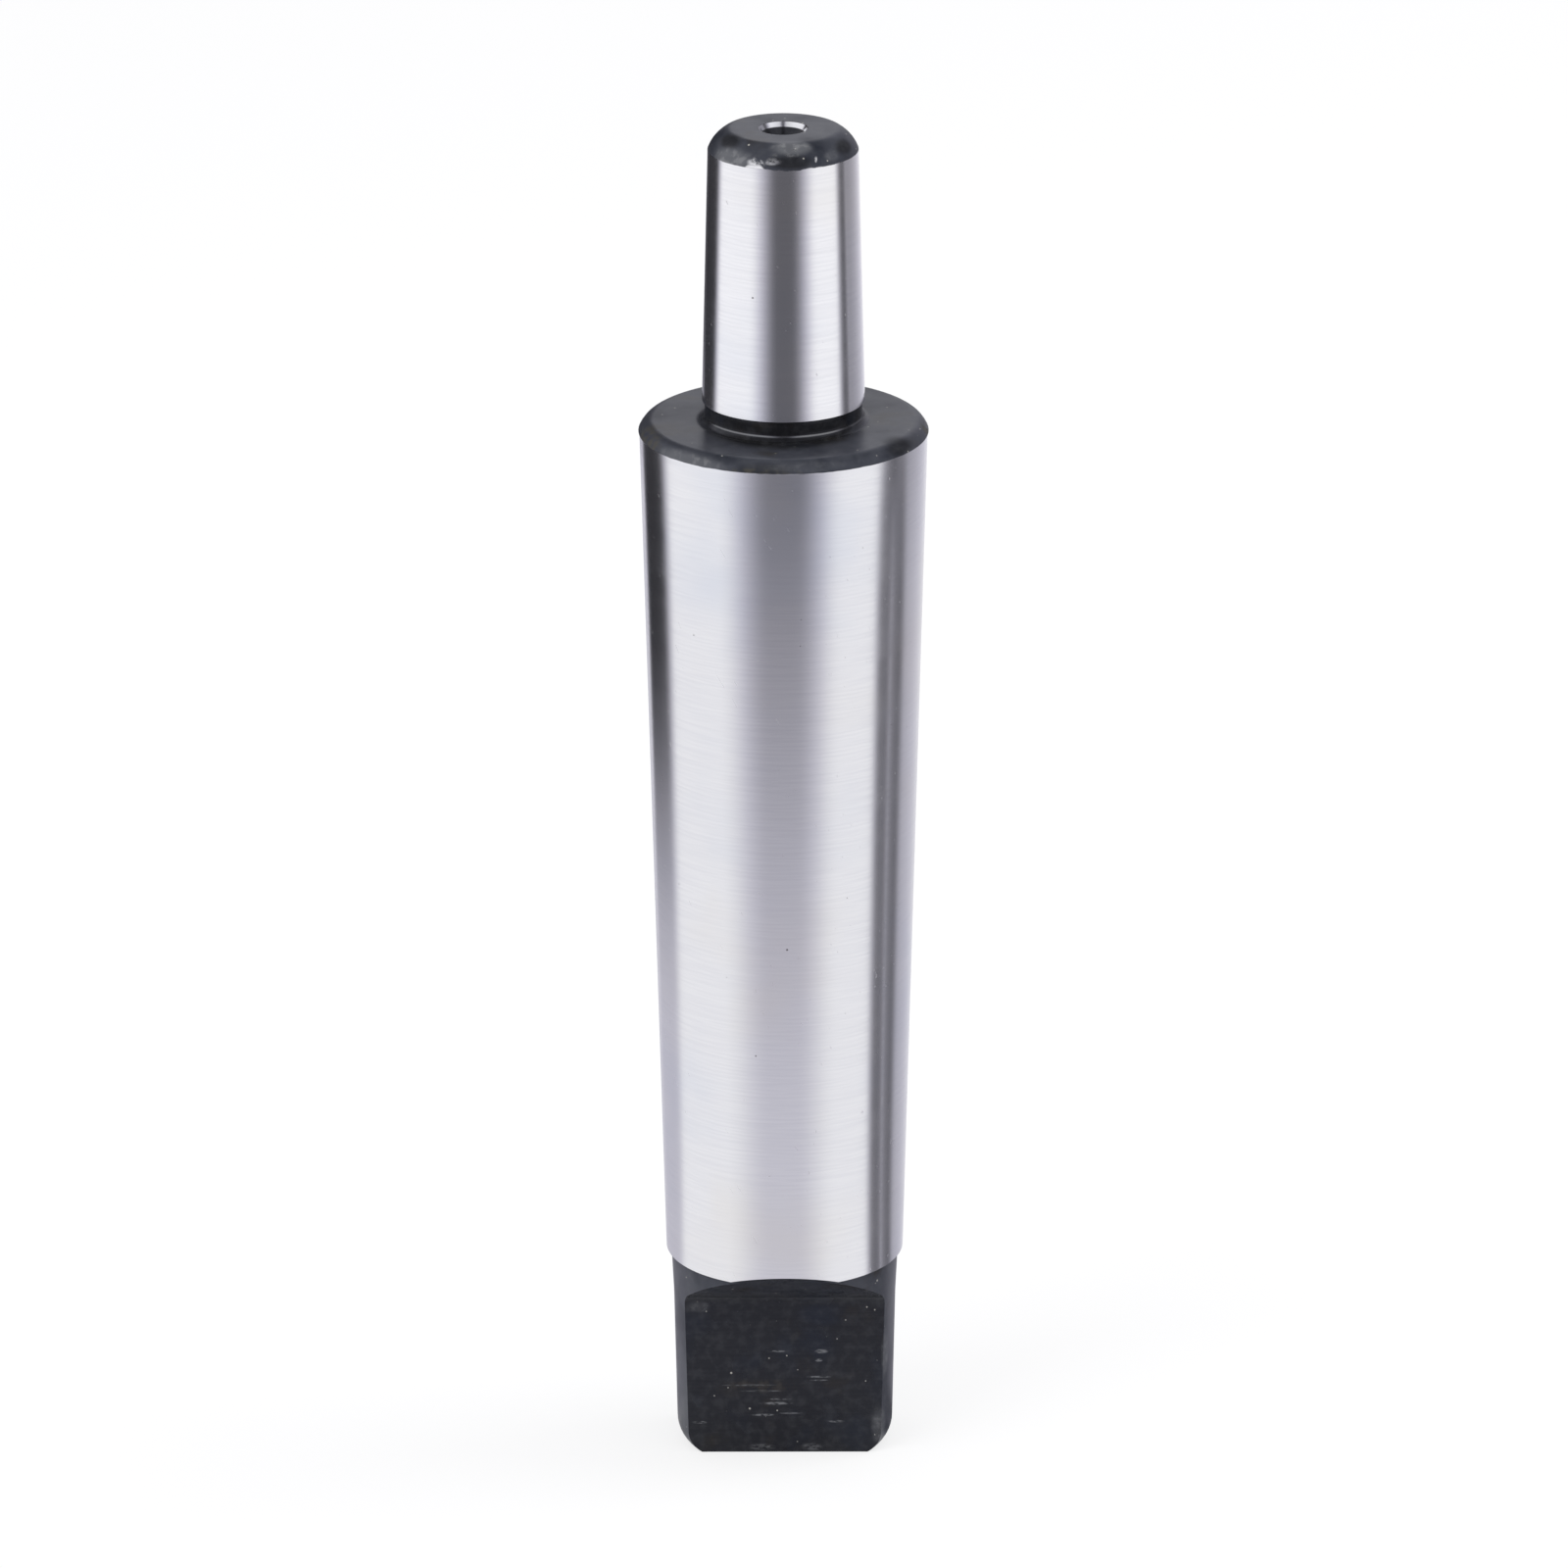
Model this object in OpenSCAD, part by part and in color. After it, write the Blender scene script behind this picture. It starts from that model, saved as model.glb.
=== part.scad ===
// Drill chuck arbor, turned, milled and ground from one bar.
// It stands on the end of its tang at z = 0, with its axis along +Z.
// From the bottom: flat tang, long Morse taper shank, shoulder, undercut, short chuck taper.

/* [Shank taper] */
// Diameter of the shank at its gauge plane
shank_gauge_d = 31.267; // [29:0.001:34]
// Change of the shank's diameter for each millimetre of length
shank_rate = 0.05194; // [0.04:0.00001:0.06]
// Height of the gauge plane above the end of the tang
shank_gauge_z = 117.5; // [90:0.5:150]
// Collar of ground taper left above the gauge plane
shank_collar = 0.8; // [0.2:0.1:8]
// How far the turned rim of the shoulder stands proud of the ground taper
rim_proud = 0.1; // [0.05:0.01:0.5]
// Upright land on the rim, under its rounding
rim_land = 0.1; // [0.05:0.01:0.3]
// Height of the rim, from the end of the ground taper to the face of the shoulder
rim_h = 1.3; // [0.6:0.1:1.8]
// Radius of the rounding on the rim
rim_r = 3; // [2.2:0.1:6]
// Lean of the rounding where it leaves the land, measured from the axis
rim_lean = 25; // [5:1:35]

/* [Tang] */
// Height of the step where the ground taper starts
tang_len = 23.15; // [21:0.05:28]
// Diameter of the tang just above its rounded end
tang_end_d = 24.1; // [21:0.1:24.6]
// Diameter of the tang where its flare starts
tang_top_d = 24.74; // [24.2:0.02:25.2]
// Diameter of the tang under the step
tang_root_d = 25.3; // [24.8:0.1:26]
// Height of the flare under the step
tang_flare = 5.6; // [2:0.1:8]
// Thickness of the tang across its two flats
tang_t = 10.8; // [9:0.1:12.5]
// Height of the flats, up to the line where their run-out slopes start
flat_len = 18.7; // [15:0.1:21]
// Slope of each run-out, measured from square to the axis
runout_angle = 35; // [20:1:45]
// Radius of the cutter's corner between a flat and its run-out
runout_r = 2; // [1:0.1:5]
// Radius of the rounding at the end of the tang
tang_round_r = 3; // [2.7:0.1:5]
// Height of the rounding at the end of the tang
tang_round_h = 2.5; // [1:0.1:2.6]

/* [Chuck taper] */
// Diameter of the chuck taper at its gauge plane
nose_gauge_d = 17.78; // [16:0.001:20]
// Change of the chuck taper's diameter for each millimetre of length
nose_rate = 0.04995; // [0.04:0.00001:0.06]
// Length of the chuck taper from its gauge plane to its small end
nose_len = 32.3; // [24:0.1:45]
// Height of the gauge plane above the face of the shoulder
nose_gauge_gap = 0.4; // [0:0.1:5]
// Height of the rounded end, from the end of the ground taper to the end face
nose_round_h = 2.3; // [1:0.1:2.6]
// Radius of the rounding at the small end
nose_round_r = 4; // [3.5:0.1:8]
// Lean of that rounding where it leaves the ground taper, measured from the axis
nose_round_lean = 20; // [5:1:24]

/* [Undercut] */
// Height of the undercut above the face of the shoulder
neck_len = 2.3; // [1.6:0.1:5]
// Depth of the undercut below the chuck taper's surface
neck_depth = 0.3; // [0.1:0.05:1]
// Radius of the fillet between the undercut and the shoulder
neck_fillet = 1; // [0.4:0.1:1.4]

/* [Centre holes] */
// Diameter of the countersink at each end
centre_d = 5.3; // [4:0.1:6.5]
// Diameter of the pilot drilling
pilot_d = 2.5; // [1.6:0.1:3.2]
// Depth of the pilot drilling, from the face to the start of its point
pilot_depth = 5.9; // [4:0.1:9]
// Full angle of the countersink
centre_angle = 60; // [60:15:90]
// Full angle of the pilot drill's point
drill_angle = 118; // [90:1:140]

/* [Hidden] */
$fn = 128;
// A cut runs past the faces that it opens by this much
past = 1;
// A slope crosses the circle of a corner this deep, where a true tangent would only touch it
lap = 0.01;
// Heights along the axis
rim_z = shank_gauge_z + shank_collar;
face_z = rim_z + rim_h;
neck_top_z = face_z + neck_len;
nose_gauge_z = face_z + nose_gauge_gap;
top_z = nose_gauge_z + nose_len;
nose_round_z = top_z - nose_round_h;
flare_z = tang_len - tang_flare;
// Radii along the outline
tang_side_r = tang_end_d / 2;
rim_side_r = shank_radius(rim_z) + rim_proud;
nose_start_r = nose_radius(neck_top_z);
neck_side_r = nose_start_r - neck_depth;

// Worked-out sizes are kept to a thousandth of a millimetre, as on a drawing
function to_micron(v) = round(v * 1000) / 1000;
// Radius of the ground shank at a height
function shank_radius(z) = to_micron((shank_gauge_d - shank_rate * (shank_gauge_z - z)) / 2);
// Radius of the chuck taper at a height
function nose_radius(z) = to_micron((nose_gauge_d - nose_rate * (z - nose_gauge_z)) / 2);

// Outline from the axis outwards, cut back behind the rounding of the tang and filled out at the fillet
module outline() {
    polygon([
        [0, 0],
        [tang_side_r - tang_round_r, 0],
        [tang_side_r, tang_round_h],
        [tang_top_d / 2, flare_z],
        [tang_root_d / 2, tang_len],
        [shank_radius(tang_len), tang_len],
        [shank_radius(rim_z), rim_z],
        [rim_side_r, rim_z],
        [rim_side_r, face_z],
        [neck_side_r + neck_fillet, face_z],
        [neck_side_r, face_z + neck_fillet],
        [neck_side_r, neck_top_z],
        [nose_start_r, neck_top_z],
        [nose_radius(top_z), top_z],
        [0, top_z]
    ]);
}

// Rounding at the end of the tang, with its centre level with the foot of the side
module tang_rounding() {
    intersection() {
        translate([tang_side_r - tang_round_r, tang_round_h])
            circle(tang_round_r);
        translate([tang_side_r - 2 * tang_round_r, 0])
            square([3 * tang_round_r, tang_round_h]);
    }
}

// Metal that the tool turns off outside an arc, which leaves the side at side_z with a lean
module turned_off(side_r, side_z, radius, lean, end_z) {
    centre = [to_micron(side_r - radius * cos(lean)), to_micron(side_z - radius * sin(lean))];
    difference() {
        translate(centre)
            square([side_r - centre[0] + past, end_z - centre[1] + past]);
        translate(centre)
            circle(radius);
    }
}

// Half section of the turned and ground blank
module blank_section() {
    difference() {
        union() {
            outline();
            tang_rounding();
        }
        turned_off(rim_side_r, rim_z + rim_land, rim_r, rim_lean, face_z);
        turned_off(nose_radius(nose_round_z), nose_round_z, nose_round_r, nose_round_lean, top_z);
        translate([neck_side_r + neck_fillet, face_z + neck_fillet])
            circle(neck_fillet);
    }
}

// Side view of the metal that the mill takes off one side of the tang
module flat_cut_section() {
    flat_x = tang_t / 2;
    reach = shank_gauge_d / 2;
    reach_z = flat_len + (reach - flat_x) * tan(runout_angle);
    // The cutter's corner touches the flat at corner_z and turns into the run-out slope
    corner_x = flat_x + runout_r;
    corner_z = to_micron(flat_len - runout_r * tan(45 - runout_angle / 2));
    slope_start = [
        corner_x - (runout_r - lap) * sin(runout_angle),
        corner_z + (runout_r - lap) * cos(runout_angle)
    ];
    polygon([
        [flat_x, -past],
        [flat_x, corner_z],
        [corner_x, corner_z],
        slope_start,
        [reach, reach_z - lap / cos(runout_angle)],
        [reach, -past]
    ]);
    translate([corner_x, corner_z])
        circle(runout_r);
}

// The cut on the +Y side, run right through the tang along X
module flat_cut() {
    translate([-shank_gauge_d / 2, 0, 0])
        rotate([90, 0, 90])
            linear_extrude(height = shank_gauge_d)
                flat_cut_section();
}

// Centre drilling that opens upwards at z = 0 and goes down from there
module centre_hole() {
    sink_h = (centre_d - pilot_d) / 2 / tan(centre_angle / 2);
    point_h = pilot_d / 2 / tan(drill_angle / 2);
    open_r = centre_d / 2 + past * tan(centre_angle / 2);
    rotate_extrude()
        polygon([
            [0, -pilot_depth - point_h],
            [pilot_d / 2, -pilot_depth],
            [pilot_d / 2, -sink_h],
            [open_r, past],
            [0, past]
        ]);
}

module arbor() {
    color("lightsteelblue")
        difference() {
            rotate_extrude()
                blank_section();
            flat_cut();
            mirror([0, 1, 0])
                flat_cut();
            translate([0, 0, top_z])
                centre_hole();
            mirror([0, 0, 1])
                centre_hole();
        }
}

arbor();
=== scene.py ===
import math

import bpy
import numpy as np
from mathutils import Matrix, Vector


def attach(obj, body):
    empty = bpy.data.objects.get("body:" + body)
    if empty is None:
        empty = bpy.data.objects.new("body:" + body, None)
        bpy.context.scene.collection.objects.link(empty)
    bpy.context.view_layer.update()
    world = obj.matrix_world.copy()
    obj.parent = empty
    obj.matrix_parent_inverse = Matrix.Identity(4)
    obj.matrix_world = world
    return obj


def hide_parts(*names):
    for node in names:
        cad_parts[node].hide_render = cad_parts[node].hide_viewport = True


bl_info = {
    "name": "Drill Chuck Arbor",
    "version": (1, 0, 0),
    "blender": (4, 5, 0),
    "location": "View3D > Sidebar > Arbor",
    "description": "Makes a drill chuck arbor with ground tapers and a black oxide tang, and its stage",
    "category": "Add Mesh",
}

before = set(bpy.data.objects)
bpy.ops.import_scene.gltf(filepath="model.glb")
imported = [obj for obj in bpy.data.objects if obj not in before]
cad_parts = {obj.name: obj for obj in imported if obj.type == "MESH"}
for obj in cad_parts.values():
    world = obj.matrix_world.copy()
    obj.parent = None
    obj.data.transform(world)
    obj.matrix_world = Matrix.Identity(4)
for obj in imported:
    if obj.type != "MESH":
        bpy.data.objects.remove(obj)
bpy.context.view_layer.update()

MM = 0.001
# Kinds of node that the trees use most
MATH = "ShaderNodeMath"
VECTOR_MATH = "ShaderNodeVectorMath"
RANGE = "ShaderNodeMapRange"
SPLIT = "ShaderNodeSeparateXYZ"
JOIN = "ShaderNodeCombineXYZ"
# What makes a Map Range node ease in and out
SOFT = {"interpolation_type": "SMOOTHSTEP"}

# Turned arcs have a ring of points about every so many degrees
ARC_STEP = math.radians(8)
# Rings are at most this far apart on long straight stretches, the shoulder, the undercut and end face,
# and the run-outs
RING_GAP = 5 * MM
SHOULDER_GAP = 1.5 * MM
END_GAP = 1 * MM
RUNOUT_GAP = 0.35 * MM
# How close to a curve a flat face has its last ring
CLOSE = 0.08 * MM
# Height of the strip of shank whose rings lean towards the edge that the mill cut, and where they lie in it
CUT_STRIP = 1.6 * MM
CUT_SHARES = (0.2, 0.5, 1.0)
# Shares of the way across the tang's end at which its rings lie
END_SHARES = (1 / 3, 2 / 3, 1.0)
# A point counts as milled if it comes within this of the flat
FLAT_LIMIT = 1e-7
# Points closer than this are one point, at the seam and the poles
MERGE_LIMIT = 0.5e-6
# A face has a finish if more than this share of its corners are marked for it
MOST_CORNERS = 0.75
# The break on each sharp edge is this many faces wide, on edges that turn more than this angle
BREAK_FACES = 3
BREAK_ANGLE = math.radians(15)

# Above this height a surface belongs to the shoulder or the chuck taper, and not to the tang
UPPER_END = 100 * MM
# The undercut and its fillet lie within twice this height above the gauge plane
NECK_REACH = 4 * MM
# Painted shade: the undercut is painted dark where shade falls under the nose. The dark starts this far
# out from the fillet, is full this far in from it, and is narrower by this factor towards the sides
NECK_SHADE_OUT = 2.4 * MM
NECK_SHADE_IN = 0.2 * MM
NECK_SHADE_SQUEEZE = 1.22
# Painted highlight: a bright line of steel where the fillet catches the light. It lies at this share of
# the fillet's height, fades out this far from its middle, is full this close to it, and shows this much
HIGHLIGHT_SHARE = 0.62
HIGHLIGHT_FADE = 0.12 * MM
HIGHLIGHT_CORE = 0.04 * MM
HIGHLIGHT_STRENGTH = 0.2
# How ragged the ends of the ground tapers are, what knocks add to it, and half the width of their soft edge
RAG = 0.3 * MM
RAG_AT_KNOCKS = 1.3 * MM
RAG_FADE = 0.07 * MM
# Where a taper's steel is knocked upwards in full, its soft edge is wider by this many widths
KNOCK_FADE = 9.0
# A soft spot has its full strength within this share of its half sizes
SPOT_CORE = 0.4
# Roughness of the oxide on the flats, the run-outs, the turned faces, and the undercut and bores
FLAT_ROUGH = 0.26
RUNOUT_ROUGH = 0.12
TURNED_ROUGH = 0.34
NECK_ROUGH = 0.14

# Half the side of the floor, and the side in metres and the power in watts of each soft box
FLOOR_REACH = 8.0
BOX_SIDE = 0.6
BOX_POWER = 4.0
# Width of the camera's sensor in millimetres, and how close to it things are seen, in metres
SENSOR = 36.0
CLIP_START = 0.05
# Distances in metres between which the shades turn, and a distance past them all that stands for the sky
TURN_FROM = 0.3
TURN_TO = 0.38
SKY_AWAY = 10.0


def hex_to_linear(code):
    """An sRGB hex colour as linear red, green, blue and alpha."""
    channels = [int(code[i:i + 2], 16) / 255 for i in (1, 3, 5)]
    linear = [c / 12.92 if c <= 0.04045 else ((c + 0.055) / 1.055) ** 2.4 for c in channels]
    return (*linear, 1.0)


def length(label, note, millimetres):
    """A length property in metres, with its default given in millimetres."""
    return bpy.props.FloatProperty(
        name=label, description=note, default=millimetres * MM, min=0.0, unit="LENGTH", precision=5)


def angle(label, note, degrees):
    """An angle property in radians, with its default given in degrees."""
    return bpy.props.FloatProperty(
        name=label, description=note, default=math.radians(degrees), unit="ROTATION", precision=3)


def colour(label, note, code):
    """A colour property, with its default given as an sRGB hex colour."""
    return bpy.props.FloatVectorProperty(
        name=label, description=note, default=hex_to_linear(code), size=4, min=0.0, max=1.0, subtype="COLOR")


def add(tree, kind, inputs=(), **settings):
    """Adds a node with its settings, and fills its inputs with values, nodes or their outputs.

    The inputs are a tuple in the node's own order, or a dictionary by number or name."""
    node = tree.nodes.new(kind)
    for name, value in settings.items():
        setattr(node, name, value)
    pairs = inputs.items() if isinstance(inputs, dict) else enumerate(inputs)
    for key, value in pairs:
        if isinstance(value, bpy.types.Node):
            value = value.outputs[0]
        if isinstance(value, bpy.types.NodeSocket):
            tree.links.new(value, node.inputs[key])
        else:
            node.inputs[key].default_value = value
    return node


class ArborSizes(bpy.types.PropertyGroup):
    """The sizes of the arbor, the same as the solid's."""

    shank_gauge_d: length("Shank gauge diameter", "Diameter of the shank at its gauge plane", 31.267)
    shank_rate: bpy.props.FloatProperty(
        name="Shank taper", description="Change of diameter for each unit of length",
        default=0.05194, precision=5)
    shank_gauge_z: length("Shank gauge height", "Height of the gauge plane above the tang's end", 117.5)
    shank_collar: length("Shank collar", "Ground taper left above the gauge plane", 0.8)
    rim_proud: length("Rim overhang", "How far the turned rim stands proud of the ground taper", 0.1)
    rim_land: length("Rim land", "Upright land on the rim, under its rounding", 0.1)
    rim_h: length("Rim height", "From the end of the ground taper to the shoulder's face", 1.3)
    rim_r: length("Rim radius", "Radius of the rounding on the rim", 3.0)
    rim_lean: angle("Rim lean", "Lean of the rim's rounding where it leaves the land", 25)
    rim_blend: length("Rim blend", "Radius that blends the rim's rounding into the shoulder's face", 1.5)
    tang_len: length("Tang length", "Height of the step where the ground taper starts", 23.15)
    tang_end_d: length("Tang end diameter", "Diameter of the tang just above its rounded end", 24.1)
    tang_top_d: length("Tang top diameter", "Diameter of the tang where its flare starts", 24.74)
    tang_root_d: length("Tang root diameter", "Diameter of the tang under the step", 25.3)
    tang_flare: length("Tang flare", "Height of the flare under the step", 5.6)
    tang_t: length("Tang thickness", "Thickness of the tang across its two flats", 10.8)
    flat_len: length("Flat height", "Height of the flats, up to their run-out slopes", 18.7)
    runout_angle: angle("Run-out angle", "Slope of each run-out, from square to the axis", 35)
    runout_r: length("Run-out radius", "Radius of the cutter's corner between flat and run-out", 2.0)
    tang_round_r: length("Tang rounding radius", "Radius of the rounding at the tang's end", 3.0)
    tang_round_h: length("Tang rounding height", "Height of the rounding at the tang's end", 2.5)
    nose_gauge_d: length("Chuck taper diameter", "Diameter of the chuck taper at its gauge plane", 17.78)
    nose_rate: bpy.props.FloatProperty(
        name="Chuck taper", description="Change of diameter for each unit of length",
        default=0.04995, precision=5)
    nose_len: length("Chuck taper length", "Length from its gauge plane to its small end", 32.3)
    nose_gauge_gap: length("Chuck gauge gap", "Height of its gauge plane above the shoulder's face", 0.4)
    nose_round_h: length("Nose rounding height", "From the end of the ground taper to the end face", 2.3)
    nose_round_r: length("Nose rounding radius", "Radius of the rounding at the small end", 4.0)
    nose_round_lean: angle("Nose rounding lean", "Lean of that rounding where it leaves the taper", 20)
    nose_blend: length("Nose blend", "Radius that blends that rounding into the end face", 1.6)
    neck_len: length("Undercut height", "Height of the undercut above the shoulder's face", 2.3)
    neck_depth: length("Undercut depth", "Depth of the undercut below the chuck taper", 0.3)
    neck_fillet: length("Undercut fillet", "Radius of the fillet between undercut and shoulder", 1.0)
    centre_d: length("Centre hole diameter", "Diameter of the countersink at each end", 5.3)
    pilot_d: length("Pilot diameter", "Diameter of the pilot drilling", 2.5)
    pilot_depth: length("Pilot depth", "Depth of the pilot drilling to the start of its point", 5.9)
    centre_angle: angle("Countersink angle", "Full angle of the countersink", 60)
    drill_angle: angle("Drill point angle", "Full angle of the pilot drill's point", 118)
    centre_polish: length("Centre polish", "Depth to which the centres polished the countersinks", 0.48)
    edge_break: length("Edge break", "Width of the break on each sharp edge", 0.04)
    flat_columns: bpy.props.IntProperty(
        name="Columns on a flat", description="Columns of faces across half of one flat",
        default=30, min=4)
    arc_columns: bpy.props.IntProperty(
        name="Columns on an arc", description="Columns of faces from the side to a flat's edge",
        default=18, min=4)


class ArborFinish(bpy.types.PropertyGroup):
    """The colours of the arbor's finishes."""

    steel: colour("Ground steel", "Bright colour of the ground tapers", "#EEEEEF")
    steel_line: colour("Grinding line", "Colour in the deeper grinding lines", "#DEDEE3")
    steel_cool: colour("Steel, cool tint", "Faint blue cast where the grinding ran cool", "#DCE0E8")
    steel_warm: colour("Steel, warm tint", "Faint straw cast of the oil film", "#EBE9E6")
    pit: colour("Pit", "Bottom of the small pits in the ground surface", "#3A3633")
    oxide: colour("Black oxide", "Main colour of the black oxide on the milled flats", "#131315")
    oxide_turned: colour("Black oxide, turned", "Main colour of the oxide on the turned parts", "#35373E")
    oxide_sheen: colour("Black oxide, sheen", "Tint of what the oxide mirrors", "#E8EDFF")
    oxide_blue: colour("Black oxide, blue", "Blue tint of the oxide", "#111620")
    oxide_brown: colour("Black oxide, brown", "Olive brown tint of the oxide", "#211C14")
    oxide_worn: colour("Worn oxide", "Where handling has worn the oxide thin", "#6F7072")
    residue: colour("Residue", "Dried oil and scale on the rim", "#4A463A")
    dust: colour("Dust", "Pale dust specks on the oxide", "#B9B6AE")


class ArborStage(bpy.types.PropertyGroup):
    """The floor, the light and the camera."""

    floor: colour("Floor", "Colour of the pale floor", "#FAFAFA")
    sky: colour("Sky", "Colour of the soft light from all round", "#FAFAFE")
    shade: colour("Shade", "Tint of the dark parts that the steel mirrors", "#F3F1FF")
    camera_distance: length("Camera distance", "From the camera to the middle of the arbor", 1103.7)
    camera_lens: bpy.props.FloatProperty(
        name="Focal length", description="Focal length of the lens on a 36 mm sensor", default=230.8)
    camera_rise: angle("Camera rise", "How high the camera stands above the horizon", 19.57)
    camera_dip: angle("Camera dip", "How far below the arbor's middle the camera aims", 0.123)
    camera_roll: angle("Camera roll", "Turn of the camera about its line of sight", -0.08)
    camera_aim: length("Aim height", "Height of the arbor's middle that the camera aims at", 80.0)


def arc(centre, radius, start, end):
    """Points of an arc in the outline, as radius and height, from one angle to another."""
    steps = max(2, math.ceil(abs(end - start) / ARC_STEP))
    turn = [start + (end - start) * i / steps for i in range(steps + 1)]
    return [(centre[0] + radius * math.cos(a), centre[1] + radius * math.sin(a)) for a in turn]


def leaning_arc(side, start_z, radius, lean, end_z, blend_r):
    """Points of an arc that leaves a side with a lean, and of one that blends it into a flat face."""
    centre_x = side - radius * math.cos(lean)
    centre_z = start_z - radius * math.sin(lean)
    blend_z = end_z - blend_r
    blend_x = centre_x + math.sqrt((radius - blend_r) ** 2 - (blend_z - centre_z) ** 2)
    meet = math.atan2(blend_z - centre_z, blend_x - centre_x)
    blending = arc((blend_x, blend_z), blend_r, meet, math.pi / 2)
    return arc((centre_x, centre_z), radius, lean, meet) + blending[1:]


def straight(start, end, gap=RING_GAP):
    """Points of a straight stretch of the outline, with both its ends."""
    steps = max(1, math.ceil(math.dist(start, end) / gap))
    first, whole = np.array(start), np.array(end) - np.array(start)
    return [tuple(first + whole * i / steps) for i in range(steps + 1)]


def face_ring(out_r, in_r, z, gap):
    """Points across a flat end face, inwards. One close to each end keeps a curve's shading off the face."""
    inner = straight((out_r - CLOSE, z), (in_r + CLOSE, z), gap)
    return [(out_r, z), *inner, (in_r, z)]


def heights(s):
    """Heights of the rim's underside, the shoulder's face, the end of the ground nose and the end face."""
    rim_z = s.shank_gauge_z + s.shank_collar
    face_z = rim_z + s.rim_h
    top_z = face_z + s.nose_gauge_gap + s.nose_len
    return rim_z, face_z, top_z - s.nose_round_h, top_z


def cutter_corner(s):
    """Height at which the cutter's corner leaves the flat and turns into the run-out."""
    return s.flat_len - s.runout_r * math.tan(math.pi / 4 - s.runout_angle / 2)


def half_thickness(s, z):
    """Half the tang's thickness at a height: the flat, the cutter's corner, then the run-out slope."""
    flat = s.tang_t / 2
    corner_z = cutter_corner(s)
    slope_z = corner_z + s.runout_r * math.cos(s.runout_angle)
    if z <= corner_z:
        return flat
    if z <= slope_z:
        return flat + s.runout_r - math.sqrt(s.runout_r ** 2 - (z - corner_z) ** 2)
    return flat + (z - s.flat_len) / math.tan(s.runout_angle)


def hole_outline(s, face_z, way):
    """A centre drilling from its point to its countersink. Way is 1 if it goes down from the face, or -1."""
    sink = (s.centre_d - s.pilot_d) / 2 / math.tan(s.centre_angle / 2)
    point = s.pilot_d / 2 / math.tan(s.drill_angle / 2)
    pilot_z = face_z - way * s.pilot_depth
    return (straight((0.0, pilot_z - way * point), (s.pilot_d / 2, pilot_z))
            + straight((s.pilot_d / 2, pilot_z), (s.pilot_d / 2, face_z - way * sink))[1:])


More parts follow.
